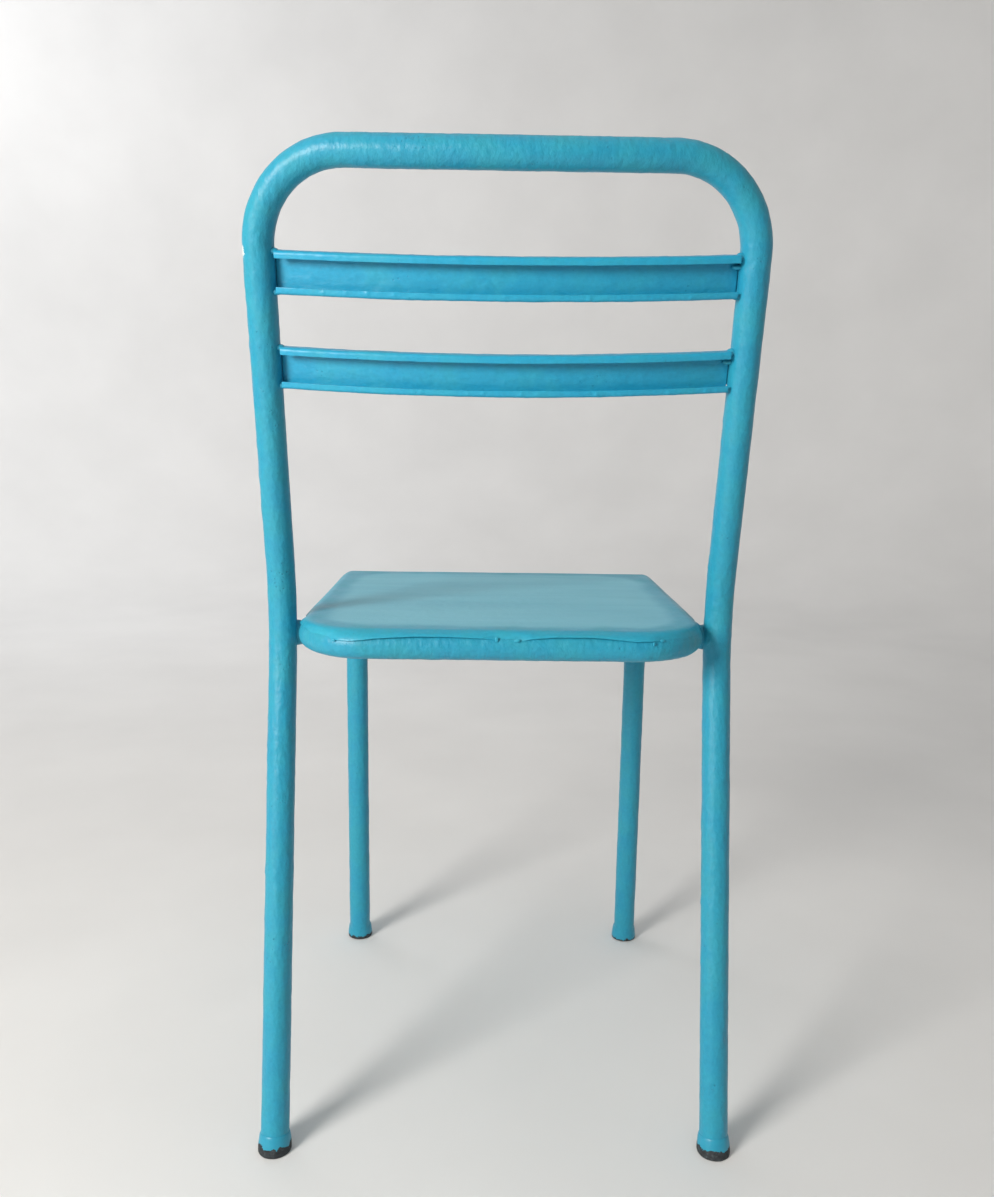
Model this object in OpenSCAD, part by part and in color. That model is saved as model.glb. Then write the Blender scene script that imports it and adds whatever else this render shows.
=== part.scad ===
// Old steel cafe chair: two bent tubes, a pressed sheet seat and two folded sheet slats.
// X runs to the sitter's left, the front of the seat looks towards -Y and Z is up.
// The origin is on the floor, under the middle of the overall box.

/* [Tubes] */
// Outside diameter of both bent tubes
tube_d = 25; // [20:0.5:30]
// Wall of the tubes
tube_wall = 1.5; // [1:0.1:2.5]

/* [Back frame] */
// Distance between the axes of the two uprights
upright_spacing = 389; // [320:1:470]
// Height of the knee, where each upright turns from leg to back
knee_h = 465; // [380:1:560]
// Height of the top rail's axis, before its bow
rail_h = 838; // [780:1:1010]
// Backward slope of the rear legs, in degrees
rear_rake = 10.5; // [4:0.5:13]
// Backward slope of the back, in degrees
recline = 13.7; // [8:0.1:17]
// Radius of the knee on the tube's axis
knee_r = 240; // [120:5:300]
// Radius of the two top corners on the tube's axis
corner_r = 72; // [50:1:85]
// How far the rail and the slats bow backwards from the uprights
back_bow = 25; // [10:1:32]

/* [Slats] */
// Height of a slat
slat_h = 33.5; // [28:0.5:45]
// Depth of a slat's channel
slat_depth = 12; // [8:0.5:15]
// Height of the lips turned in along the channel's open side
slat_lip = 6; // [4:0.5:9]
// Thickness of the slats' sheet
slat_t = 1.5; // [1:0.1:2]
// From the rail's axis down to the top of the upper slat
slat_drop = 71; // [50:0.5:85]
// From one slat to the next
slat_pitch = 74; // [60:1:90]
// Space that the weld fills between a slat's end and the upright
root_gap = 1.5; // [0.5:0.1:3]

/* [Seat] */
// Height of the top of the seat
seat_h = 467; // [420:1:540]
// Depth of the seat over its front bends
seat_d = 389; // [330:1:470]
// How far the seat reaches behind the knees
seat_overhang = 82; // [70:1:100]
// Radius of the rear corners on the hoop's axis
hoop_r = 54.5; // [40:0.5:70]
// Radius of the bend from seat side to front leg, on the tube's axis
front_bend_r = 30; // [28:1:45]
// Forward slope of the front legs, in degrees
front_rake = 1.5; // [0:0.5:6]
// Thickness of the seat sheet
sheet_t = 1.5; // [1:0.1:2]
// Height at which the sheet's rim ends on the hoop, in degrees above the hoop's axis
rim_end = 30; // [10:1:50]
// The same for the front roll, measured about the centre of the front bends
roll_end = 20; // [5:1:45]
// Space that the weld fills between the seat's rim and the upright
side_gap = 2.3; // [1:0.1:5]
// Diameter of the welds between seat and uprights
side_weld_d = 15; // [12:0.5:23]

/* [Feet] */
// Wall of a foot cap, round the tube
cap_wall = 2.35; // [1.5:0.05:4]
// Height of a foot cap
cap_h = 16; // [12:0.5:25]
// Thickness of a cap under the tube's end, on the axis
cap_base = 5; // [4:0.5:8]

/* [Hidden] */
$fn = 64;
// Finer steps for the rail's and the slats' wide arcs
wide_fn = 360;

PAINT = "#3BA3BC";
WELD = "#4DB4CB";
RUBBER = "#23282B";

tube_r = tube_d / 2;
// How far a straight rod laps into a bend, and how much thicker the bend is
lap = 0.5;
swell = 0.05;
// How much further down the sheet is drawn over the two front bends, in degrees
corner_roll = 3;
// Play between the sheet and the hoop, and between a tube and its foot cap
paint_gap = 0.2;
cap_gap = 0.15;
cap_d = tube_d + 2 * (cap_gap + cap_wall);

// Back: distances from the knee along the back's own slope
half_w = upright_spacing / 2;
knee_turn = rear_rake + recline;
knee_t = knee_r * tan(knee_turn / 2);
rail_s = (rail_h - knee_h) / cos(recline);
upper_slat_s = rail_s - slat_drop - slat_h / 2;
lower_slat_s = upper_slat_s - slat_pitch;
// The corner leans back by this angle, so that the rail bows in one smooth arc
bow_angle = 2 * atan(back_bow / (half_w + corner_r));
rail_r = (half_w - corner_r * cos(bow_angle)) / sin(bow_angle);
// One arc for the slats, through the uprights' axes
slat_r = (half_w * half_w + back_bow * back_bow) / (2 * back_bow);
slat_half = asin(half_w / slat_r);
fold_r = slat_t;
fold_out = fold_r + slat_t;
rear_foot_y = knee_h * tan(rear_rake);

// Seat: the hoop's axis and the sheet's outer radius round it
rim_in = tube_r + paint_gap;
rim_r = rim_in + sheet_t;
hoop_z = seat_h - rim_r;
hoop_w = half_w - tube_r - side_gap - rim_r;
hoop_y = seat_overhang - rim_r;
corner_y = hoop_y - hoop_r;
bend_y = seat_overhang - seat_d + rim_r + front_bend_r;
bend_z = hoop_z - front_bend_r;
leg_top_z = bend_z + front_bend_r * sin(front_rake);
front_foot_y = bend_y - front_bend_r * cos(front_rake) - leg_top_z * tan(front_rake);

// The chair's overall depth, which puts the origin under its middle
front_y = front_foot_y - cap_d / 2 / cos(front_rake);
back_y = rail_s * sin(recline) + back_bow * cos(recline) + tube_r;
mid_y = -(front_y + back_y) / 2;

// Welds
bead_r = 2.9;
bead_gap = 0.15;
bead_leg = 2.5;
tack_r = 3.2;
tack_angle = 18;

// Y of the upright's axis at height z, through the leg, the knee and the back
leg_end_z = knee_h - knee_t * cos(rear_rake);
back_start_z = knee_h + knee_t * cos(recline);
knee_centre_y = knee_t * sin(rear_rake) + knee_r * cos(rear_rake);
knee_centre_z = leg_end_z + knee_r * sin(rear_rake);
function upright_y(z) =
    z < leg_end_z ? (knee_h - z) * tan(rear_rake) :
    z > back_start_z ? (z - knee_h) * tan(recline) :
    knee_centre_y - sqrt(knee_r * knee_r - pow(z - knee_centre_z, 2));

// ---- sections ----

// Part of a ring from angle a1 to a2, less than a half turn
module ring_part(r_in, r_out, a1, a2) {
    far = 2 * r_out;
    intersection() {
        difference() {
            circle(r = r_out);
            circle(r = r_in);
        }
        polygon([[0, 0], far * [cos(a1), sin(a1)],
                 far * [cos((a1 + a2) / 2), sin((a1 + a2) / 2)], far * [cos(a2), sin(a2)]]);
    }
}

// The edge of the seat sheet, wrapped over the hoop: X outwards, Y up
module rim_section() {
    ring_part(rim_in, rim_r, rim_end, 90);
}

// The hoop and the rim over it as one filled outline, for shaping the welds
module hoop_outline() {
    circle(r = tube_r + swell);
    ring_part(tube_r - sheet_t / 2, rim_r, rim_end, 90);
}

// ---- a tube's run: each step starts where the last one ended, heading along Z ----
// Each step is a solid rod, inset by the wall for the bore. A straight rod laps into the
// bends at its ends, and a bend is thicker by the swell, so that the two always join.
// Their seams are turned to one side of the tube, given as an angle from the step's X.

module go(length) {
    translate([0, 0, length]) children();
}

module turn(r, angle) {
    translate([r * (1 - cos(angle)), 0, r * sin(angle)]) rotate([0, angle, 0]) children();
}

module straight_rod(length, inset, seam) {
    rotate([0, 0, seam]) translate([0, 0, -lap]) cylinder(h = length + 2 * lap, r = tube_r - inset);
}

module bent_rod(r, angle, inset, seam) {
    translate([r, 0, 0]) rotate([90, 0, 0]) rotate([0, 0, 180 - angle])
        rotate_extrude(angle = angle) translate([r, 0])
            rotate(seam - 180) circle(r = tube_r + swell - inset);
}

// A leg from its foot cap's floor up; its bore is open at the foot
module leg_rod(length, inset, seam) {
    start = cap_base - (inset > 0 ? lap : 0);
    rotate([0, 0, seam]) translate([0, 0, start])
        cylinder(h = length + lap - start, r = tube_r - inset);
}

// Both sides of the chair
module both_sides() {
    children();
    mirror([1, 0, 0]) children();
}

// Moves to a point s up the back, with Y square to the back and Z along it
module on_back(s) {
    translate([0, 0, knee_h]) rotate([-recline, 0, 0]) translate([0, 0, s]) children();
}

module at_rear_foot(side) {
    translate([side * half_w, rear_foot_y, 0]) rotate([rear_rake, 0, 0]) children();
}

module at_front_foot(side) {
    translate([side * hoop_w, front_foot_y, 0]) rotate([-front_rake, 0, 0]) children();
}

// ---- frames ----

// One upright from its foot; what follows it starts at the top corner
module upright_rods(inset) {
    leg = knee_h / cos(rear_rake) - knee_t;
    upright = rail_s - corner_r - knee_t;
    at_rear_foot(1) {
        leg_rod(leg, inset, -bow_angle);
        go(leg) rotate([0, 0, 90]) {
            bent_rod(knee_r, knee_turn, inset, -90 - bow_angle);
            turn(knee_r, knee_turn) {
                straight_rod(upright, inset, -90 - bow_angle);
                go(upright) children();
            }
        }
    }
}

module rail_rod(inset) {
    reach = bow_angle + lap / rail_r * 180 / PI;
    on_back(rail_s) translate([0, back_bow - rail_r, 0]) rotate([0, 0, 90 - reach])
        rotate_extrude(angle = 2 * reach, $fn = wide_fn)
            translate([rail_r, 0]) rotate(90) circle(r = tube_r - inset, $fn = 64);
}

module back_rods(inset) {
    both_sides() upright_rods(inset)
        rotate([0, 0, 90 - bow_angle]) bent_rod(corner_r, 90, inset, 180);
    rail_rod(inset);
}

module back_frame() {
    color(PAINT) translate([0, mid_y, 0]) difference() {
        back_rods(0);
        back_rods(tube_wall);
    }
}

// One side of the seat frame from its foot to the end of the rear corner
module seat_side_rods(inset) {
    leg = leg_top_z / cos(front_rake);
    side = corner_y - bend_y;
    at_front_foot(1) {
        leg_rod(leg, inset, 0);
        go(leg) rotate([0, 0, 90]) bent_rod(front_bend_r, 90 - front_rake, inset, -90);
    }
    translate([hoop_w, bend_y, hoop_z]) rotate([-90, 0, 0]) {
        straight_rod(side, inset, 0);
        go(side) rotate([0, 0, 180]) bent_rod(hoop_r, 90, inset, 180);
    }
}

module seat_rods(inset) {
    rear = 2 * (hoop_w - hoop_r);
    both_sides() seat_side_rods(inset);
    translate([-rear / 2, hoop_y, hoop_z]) rotate([0, 90, 0]) straight_rod(rear, inset, 90);
}

module seat_frame() {
    color(PAINT) translate([0, mid_y, 0]) difference() {
        seat_rods(0);
        seat_rods(tube_wall);
    }
}

// ---- seat sheet ----

// The flat, inside the hoop's axis
module seat_flat() {
    translate([-hoop_w, bend_y]) square([2 * hoop_w, corner_y - bend_y]);
    translate([-(hoop_w - hoop_r), corner_y - 1]) square([2 * (hoop_w - hoop_r), hoop_r + 1]);
    both_sides() translate([hoop_w - hoop_r, corner_y]) circle(r = hoop_r);
}

// The rim along one side, round the rear corner and down the front bend
module rim_side() {
    translate([hoop_w, corner_y, hoop_z]) rotate([90, 0, 0])
        linear_extrude(corner_y - bend_y) rim_section();
    translate([hoop_w - hoop_r, corner_y, hoop_z])
        rotate_extrude(angle = 90) translate([hoop_r, 0]) rim_section();
    translate([hoop_w, bend_y, bend_z]) rotate([0, 0, 90]) rotate([90, 0, 0]) rotate([0, 0, 90])
        rotate_extrude(angle = 90 - roll_end + corner_roll) translate([front_bend_r, 0])
            mirror([1, -1]) rim_section();
}

// The roll over the front, between the two bends
module front_roll() {
    translate([-hoop_w, bend_y, bend_z]) rotate([0, 0, 90]) rotate([90, 0, 0])
        linear_extrude(2 * hoop_w)
            ring_part(front_bend_r + rim_in, front_bend_r + rim_r, 90, 180 - roll_end);
}

module seat_pan() {
    color(PAINT) translate([0, mid_y, 0]) {
        translate([0, 0, seat_h - sheet_t]) linear_extrude(sheet_t) seat_flat();
        both_sides() rim_side();
        translate([-(hoop_w - hoop_r), hoop_y, hoop_z]) rotate([0, 0, 90]) rotate([90, 0, 0])
            linear_extrude(2 * (hoop_w - hoop_r)) rim_section();
        front_roll();
    }
}

// ---- slats ----

// Upper half of a folded channel: the web at the front, the lip turned in at the back
module slat_half_section() {
    x = slat_depth / 2;
    y = slat_h / 2;
    translate([-x, 0]) square([slat_t, y - fold_out]);
    translate([-(x - fold_out), y - slat_t]) square([2 * (x - fold_out), slat_t]);
    translate([x - slat_t, y - slat_lip]) square([slat_t, slat_lip - fold_out]);
    translate([x - fold_out, y - fold_out]) ring_part(fold_r, fold_out, 0, 90);
    translate([-(x - fold_out), y - fold_out]) ring_part(fold_r, fold_out, 90, 180);
}

module slat_section() {
    slat_half_section();
    mirror([0, 1]) slat_half_section();
}

// Sweeps a section along the slats' arc, between two angles from its middle
module slat_arc(a1, a2) {
    translate([0, back_bow - slat_r, 0]) rotate([0, 0, 90 + a1])
        rotate_extrude(angle = a2 - a1, $fn = wide_fn) translate([slat_r, 0]) children();
}

// Cut square at its ends
module slat() {
    slat_end = slat_half - asin((tube_r + root_gap) / slat_r);
    slat_arc(-slat_end, slat_end) slat_section();
}

module upper_slat() {
    color(PAINT) translate([0, mid_y, 0]) on_back(upper_slat_s) slat();
}

module lower_slat() {
    color(PAINT) translate([0, mid_y, 0]) on_back(lower_slat_s) slat();
}

// ---- feet ----

// A cap over the tube's end, worn level with the floor
module cap(slope) {
    extra = cap_d * abs(tan(slope));
    difference() {
        translate([0, 0, -extra]) cylinder(h = cap_h + extra, d = cap_d);
        translate([0, 0, cap_base]) cylinder(h = cap_h, r = tube_r + cap_gap);
        rotate([-slope, 0, 0]) translate([-cap_d, -cap_d, -2 * cap_d]) cube(2 * cap_d);
    }
}

module foot_rear_left() {
    color(RUBBER) translate([0, mid_y, 0]) at_rear_foot(1) cap(rear_rake);
}

module foot_rear_right() {
    color(RUBBER) translate([0, mid_y, 0]) at_rear_foot(-1) cap(rear_rake);
}

module foot_front_left() {
    color(RUBBER) translate([0, mid_y, 0]) at_front_foot(1) cap(-front_rake);
}

module foot_front_right() {
    color(RUBBER) translate([0, mid_y, 0]) at_front_foot(-1) cap(-front_rake);
}

// ---- welds ----

// A round weld that fills the space between the seat's rim and the upright
module seat_weld() {
    y = upright_y(hoop_z);
    difference() {
        translate([hoop_w, y, hoop_z]) rotate([0, 90, 0])
            cylinder(h = half_w - hoop_w, d = side_weld_d);
        upright_rods(0);
        translate([hoop_w, corner_y, hoop_z]) rotate([90, 0, 0])
            linear_extrude(corner_y - bend_y) hoop_outline();
    }
}

module seat_weld_left() {
    color(WELD) translate([0, mid_y, 0]) seat_weld();
}

module seat_weld_right() {
    color(WELD) translate([0, mid_y, 0]) mirror([1, 0, 0]) seat_weld();
}

// Plan of a bead between a slat's end and the upright, and of the root gap inside it
module bead_plan() {
    x = half_w - tube_r - root_gap / 2;
    y = sqrt(slat_r * slat_r - x * x) - slat_r + back_bow;
    difference() {
        translate([x, y]) circle(r = bead_r);
        translate([half_w, 0]) circle(r = tube_r + bead_gap);
    }
}

module root_plan() {
    intersection() {
        bead_plan();
        translate([half_w, 0]) circle(r = tube_r + root_gap);
    }
}

// Four beads round the ends of a slat's flanges
module slat_beads() {
    both_sides() for (up = [-1, 1]) translate([0, 0, up * (slat_h - slat_t) / 2]) {
        translate([0, 0, -slat_t / 2]) linear_extrude(slat_t) root_plan();
        translate([0, 0, slat_t / 2]) linear_extrude(bead_leg) bead_plan();
        translate([0, 0, -slat_t / 2 - bead_leg]) linear_extrude(bead_leg) bead_plan();
    }
}

module upper_slat_welds() {
    color(WELD) translate([0, mid_y, 0]) on_back(upper_slat_s) slat_beads();
}

module lower_slat_welds() {
    color(WELD) translate([0, mid_y, 0]) on_back(lower_slat_s) slat_beads();
}

// A tack on the rim's edge, in the plane of the hoop's section
module tack_place() {
    rotate([0, -rim_end, 0]) translate([rim_r - sheet_t / 2, 0, 0]) sphere(r = tack_r);
}

// Three tacks that hold the rim to the hoop at the back
module rim_tacks() {
    color(WELD) translate([0, mid_y, hoop_z]) {
        difference() {
            translate([0, hoop_y, 0]) rotate([0, 0, 90]) tack_place();
            translate([-2 * tack_r, hoop_y, 0]) rotate([0, 0, 90]) rotate([90, 0, 0])
                linear_extrude(4 * tack_r) hoop_outline();
        }
        both_sides() difference() {
            translate([hoop_w - hoop_r, corner_y, 0]) rotate([0, 0, 90 - tack_angle])
                translate([hoop_r, 0, 0]) tack_place();
            translate([hoop_w - hoop_r, corner_y, 0]) rotate([0, 0, 90 - 2 * tack_angle])
                rotate_extrude(angle = 2 * tack_angle) translate([hoop_r, 0]) hoop_outline();
        }
    }
}

back_frame();
seat_frame();
seat_pan();
upper_slat();
lower_slat();
foot_rear_left();
foot_rear_right();
foot_front_left();
foot_front_right();
seat_weld_left();
seat_weld_right();
upper_slat_welds();
lower_slat_welds();
rim_tacks();
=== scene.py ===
import bpy, bmesh, math, random
import numpy as np
from mathutils import Vector, Matrix


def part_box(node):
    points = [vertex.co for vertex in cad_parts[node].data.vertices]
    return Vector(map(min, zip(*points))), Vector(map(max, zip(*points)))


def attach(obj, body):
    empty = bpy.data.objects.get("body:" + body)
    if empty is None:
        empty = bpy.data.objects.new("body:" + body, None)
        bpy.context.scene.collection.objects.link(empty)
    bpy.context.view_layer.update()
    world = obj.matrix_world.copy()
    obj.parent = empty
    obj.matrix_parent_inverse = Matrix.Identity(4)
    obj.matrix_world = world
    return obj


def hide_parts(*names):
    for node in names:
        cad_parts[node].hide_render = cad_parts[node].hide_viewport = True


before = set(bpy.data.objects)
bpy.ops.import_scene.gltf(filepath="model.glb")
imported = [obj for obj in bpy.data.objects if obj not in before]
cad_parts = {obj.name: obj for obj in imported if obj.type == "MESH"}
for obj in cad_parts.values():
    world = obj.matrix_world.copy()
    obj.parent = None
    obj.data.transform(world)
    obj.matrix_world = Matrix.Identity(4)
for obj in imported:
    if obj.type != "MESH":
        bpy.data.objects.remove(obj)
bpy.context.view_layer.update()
bpy.ops.object.select_all(action="DESELECT")
bpy.context.scene.view_settings.view_transform = "Standard"

# Metres throughout. X runs to the sitter's left, the seat looks towards -Y, Z is up.


def linear(hexColour, alpha=1.0):
    parts = [int(hexColour[i:i + 2], 16) / 255 for i in (1, 3, 5)]
    return [c / 12.92 if c <= 0.04045 else ((c + 0.055) / 1.055) ** 2.4 for c in parts] + [alpha]


def addNode(tree, kind, settings={}, links={}):
    node = tree.nodes.new("ShaderNode" + kind)
    for key, value in settings.items():
        if isinstance(key, str) and hasattr(node, key):
            setattr(node, key, value)
        else:
            node.inputs[key].default_value = value
    for key, source in links.items():
        tree.links.new(source, node.inputs[key])
    return node


def newMaterial(name):
    material = bpy.data.materials.new(name)
    material.use_nodes = True
    material.node_tree.nodes.clear()
    return material, material.node_tree


def rampStops(node, stops):
    ramp = node.color_ramp
    while len(ramp.elements) > 1:
        ramp.elements.remove(ramp.elements[-1])
    ramp.elements[0].position, ramp.elements[0].color = stops[0]
    for place, colour in stops[1:]:
        ramp.elements.new(place).color = colour


# Modelling helpers

def editOn(piece):
    bpy.ops.object.select_all(action="DESELECT")
    piece.select_set(True)
    bpy.context.view_layer.objects.active = piece
    bpy.ops.object.mode_set(mode="EDIT")


def editOff():
    bpy.ops.object.mode_set(mode="OBJECT")


def selectWhere(piece, kind, test):
    bpy.ops.mesh.select_all(action="DESELECT")
    bpy.ops.mesh.select_mode(type=kind)
    mesh = bmesh.from_edit_mesh(piece.data)
    for part in {"VERT": mesh.verts, "EDGE": mesh.edges, "FACE": mesh.faces}[kind]:
        part.select = bool(test(part))
    mesh.select_flush_mode()
    bmesh.update_edit_mesh(piece.data)


def middle(part):
    return sum((v.co for v in part.verts), Vector()) / len(part.verts)


def runOut(step):
    bpy.ops.mesh.extrude_region_move(TRANSFORM_OT_translate={"value": tuple(step)})


def bendRound(centre, axis, degrees, steps):  # right-handed about the axis
    bpy.ops.mesh.spin(steps=steps, angle=-math.radians(degrees), center=tuple(centre), axis=tuple(axis))


def startPoint(name, place):
    bpy.ops.mesh.primitive_plane_add(size=0.001, location=tuple(place))
    piece = bpy.context.object
    piece.name = piece.data.name = name
    bpy.ops.object.transform_apply(location=True, rotation=True, scale=True)
    editOn(piece)
    bpy.ops.mesh.select_mode(type="VERT")
    bpy.ops.mesh.select_all(action="SELECT")
    bpy.ops.mesh.merge(type="CENTER")
    return piece


def splitLong(piece, step):  # cuts every long edge into short ones, one length at a time
    mesh = bmesh.from_edit_mesh(piece.data)
    lengths = sorted({round(e.calc_length(), 4) for e in mesh.edges if e.calc_length() > 2.5 * step})
    for length in lengths:
        selectWhere(piece, "EDGE", lambda e: abs(e.calc_length() - length) < 6e-5)
        bpy.ops.mesh.subdivide(number_cuts=max(1, round(length / step) - 1))


def closeUp(piece):
    bpy.ops.mesh.select_all(action="SELECT")
    bpy.ops.mesh.remove_doubles(threshold=2e-5)
    bpy.ops.mesh.normals_make_consistent(inside=False)


def modify(piece, kind, **settings):
    bpy.context.view_layer.objects.active = piece
    modifier = piece.modifiers.new(kind.title(), kind)
    for key, value in settings.items():
        setattr(modifier, key, value)
    bpy.ops.object.modifier_apply(modifier=modifier.name)


# Uneven coats of paint: each layer is (noise, size of its lumps, height, how much longer than wide)
def roughen(piece, layers):
    for number, (basis, size, height, stretch) in enumerate(layers):
        texture = bpy.data.textures.new(piece.name + "Coat" + str(number), "CLOUDS")
        texture.noise_basis, texture.noise_scale, texture.noise_depth = basis, size, 1
        bpy.ops.object.empty_add(location=(0, 0, 0))
        grid = bpy.context.object
        grid.scale = (1, 1, stretch)
        bpy.context.view_layer.update()
        modify(piece, "DISPLACE", texture=texture, texture_coords="OBJECT",
               texture_coords_object=grid, strength=height, mid_level=0.6)
        bpy.data.objects.remove(grid)
        bpy.data.textures.remove(texture)


# Paint runs and beads: each is (place, height, half width, length down)
def addRuns(piece, runs):
    count = len(piece.data.vertices)
    places, normals = np.empty(count * 3), np.empty(count * 3)
    piece.data.vertices.foreach_get("co", places)
    piece.data.vertex_normals.foreach_get("vector", normals)
    places, normals = places.reshape(-1, 3), normals.reshape(-1, 3)
    rise = np.zeros(count)
    for place, height, width, length in runs:
        gap = places - np.array(place)
        down = -gap[:, 2]
        side = np.hypot(gap[:, 0], gap[:, 1])
        tail = np.where(down < 0, down / width, np.maximum(down - length, 0) / width)
        along = np.clip(down / length, 0, 1)   # narrow at the top, full at the bottom
        spread = width * (0.55 + 0.45 * along)
        rise = np.maximum(rise, height * (0.5 + 0.5 * along) * np.exp(-(side / spread) ** 2 - tail ** 2))
    moved = places + normals * rise[:, None]
    piece.data.vertices.foreach_set("co", moved.ravel())
    piece.data.update()


def finishPiece(piece, material, nodes, smooth=40):
    bpy.ops.object.select_all(action="DESELECT")
    piece.select_set(True)
    bpy.context.view_layer.objects.active = piece
    bpy.ops.object.shade_smooth_by_angle(angle=math.radians(smooth))
    piece.data.materials.clear()
    piece.data.materials.append(material)
    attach(piece, "root")
    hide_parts(*nodes)
    print("made", piece.name, len(piece.data.polygons), "faces")


# Materials

# Brushed gloss enamel in several coats over steel tube: even turquoise with soft darker and greener drifts,
# a satin shine broken by brush marks, and pinholes where old coats show. Scales are in marks to the metre: 38
# gives drifts about 26 mm across, 320 gives mottling of 3 mm, 260 brush marks of 4 mm, 230 pits 4 mm apart.
# The pale film colour for the seat's top is dust and wear, made lighter as painted light on the top face.
paintLook = {
    "body": "#2697B4", "green": "#2A99B1", "deep": "#2393B4", "dustAndTopLight": "#7EC4D8", "chip": "#DCE3E1",
    "rust": "#5A4A40",
    "driftScale": 38.0, "mottleScale": 320.0, "brushScale": 260.0, "lumpScale": 190.0, "pitScale": 230.0,
    "patchScale": 28.0, "chipScale": 900.0, "stroke": (1.0, 1.0, 0.6), "bump": 0.75,
    "glossy": 0.36, "matte": 0.5, "pitShade": (0.55, 0.68, 0.74, 1),
}
# The slats' look is the frame's enamel made lighter and bluer: painted light and painted blue shade on the
# slats.
slatLookPaintedLighter = dict(paintLook, body="#249FC4", green="#28A1C0", deep="#219DC4", stroke=(0.4, 1.0, 1.0), bump=0.4)
# The seat's look is the frame's enamel made lighter: painted light on the seat and its seam tacks.
seatLookPaintedLighter = dict(paintLook, body="#299FBC", green="#2DA1B9", deep="#269DBC", dustAndTopLight="#81C7DA",
                stroke=(0.7, 1.0, 1.0), bump=0.35)


# Pinholes and specks where grit was painted in, in patches
def pinholes(tree, look, place):
    pits = addNode(tree, "TexVoronoi", {"Scale": look["pitScale"], "Randomness": 1.0}, {"Vector": place})
    pitMask = addNode(tree, "MapRange", {"From Min": 0.12, "From Max": 0.2, "To Min": 1.0, "To Max": 0.0},
                      {"Value": pits.outputs["Distance"]})
    patchy = addNode(tree, "TexNoise", {"Scale": look["patchScale"], "Detail": 2.0}, {"Vector": place})
    patchMask = addNode(tree, "MapRange", {"From Min": 0.56, "From Max": 0.66},
                        {"Value": patchy.outputs["Fac"]})
    return addNode(tree, "Math", {"operation": "MULTIPLY"},
                   {0: pitMask.outputs["Result"], 1: patchMask.outputs["Result"]}).outputs[0]


# A film of dust and wear over the flat, smeared by wiping and fading out unevenly towards the rolled rim. Its
# pale colour is also painted light: it lightens the seat's top face beyond what the lamps give it.
def dustAndTopLightFilm(tree, dustAndTopLightSettings, place):
    flat = addNode(tree, "VectorMath", {"operation": "ABSOLUTE"}, {0: place}).outputs[0]
    flat = addNode(tree, "VectorMath", {"operation": "SUBTRACT", 1: dustAndTopLightSettings["inner"]}, {0: flat}).outputs[0]
    flat = addNode(tree, "VectorMath", {"operation": "MAXIMUM", 1: (0, 0, 0)}, {0: flat}).outputs[0]
    flat = addNode(tree, "VectorMath", {"operation": "MULTIPLY", 1: (1, 1, 0)}, {0: flat}).outputs[0]
    far = addNode(tree, "VectorMath", {"operation": "LENGTH"}, {0: flat}).outputs["Value"]
    wander = addNode(tree, "TexNoise", {"Scale": dustAndTopLightSettings["edgeScale"], "Detail": 4.0, "Roughness": 0.55},
                     {"Vector": place})
    level = addNode(tree, "Math", {"operation": "MULTIPLY_ADD", 1: dustAndTopLightSettings["wander"]},
                    {0: wander.outputs["Fac"], 2: far}).outputs[0]
    film = addNode(tree, "MapRange", {"interpolation_type": "SMOOTHSTEP", "From Min": dustAndTopLightSettings["none"],
                                      "From Max": dustAndTopLightSettings["full"], "To Max": dustAndTopLightSettings["most"]},
                   {"Value": level}).outputs["Result"]
    height = addNode(tree, "SeparateXYZ", links={0: place}).outputs["Z"]
    onTop = addNode(tree, "MapRange", {"From Min": dustAndTopLightSettings["below"], "From Max": dustAndTopLightSettings["above"]},
                    {"Value": height})
    film = addNode(tree, "Math", {"operation": "MULTIPLY"}, {0: film, 1: onTop.outputs["Result"]}).outputs[0]
    streak = addNode(tree, "Mapping", {"Scale": dustAndTopLightSettings["smear"], "Rotation": (0, 0, dustAndTopLightSettings["wiped"])},
                     {"Vector": place})
    smear = addNode(tree, "TexNoise", {"Scale": 1.0, "Detail": 5.0, "Distortion": 0.6},
                    {"Vector": streak.outputs["Vector"]})
    smearTone = addNode(tree, "MapRange", {"From Min": 0.36, "From Max": 0.6, "To Min": 0.75, "To Max": 1.0},
                        {"Value": smear.outputs["Fac"]})
    return addNode(tree, "Math", {"operation": "MULTIPLY"},
                   {0: film, 1: smearTone.outputs["Result"]}).outputs[0]


# A chipped place with a ragged edge, showing pale old primer or bare rusty steel
def chipMask(tree, look, place, spot):
    away = addNode(tree, "VectorMath", {"operation": "SUBTRACT", 1: spot["at"]}, {0: place})
    shaped = addNode(tree, "VectorMath", {"operation": "DIVIDE", 1: spot["size"]}, {0: away.outputs[0]})
    far = addNode(tree, "VectorMath", {"operation": "LENGTH"}, {0: shaped.outputs[0]}).outputs["Value"]
    ragged = addNode(tree, "TexNoise", {"Scale": look["chipScale"], "Detail": 3.0}, {"Vector": place})
    edge = addNode(tree, "Math", {"operation": "MULTIPLY_ADD", 1: 1.6},
                   {0: ragged.outputs["Fac"], 2: far}).outputs[0]
    return addNode(tree, "MapRange", {"From Min": 1.5, "From Max": 1.42}, {"Value": edge}).outputs["Result"]


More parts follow.
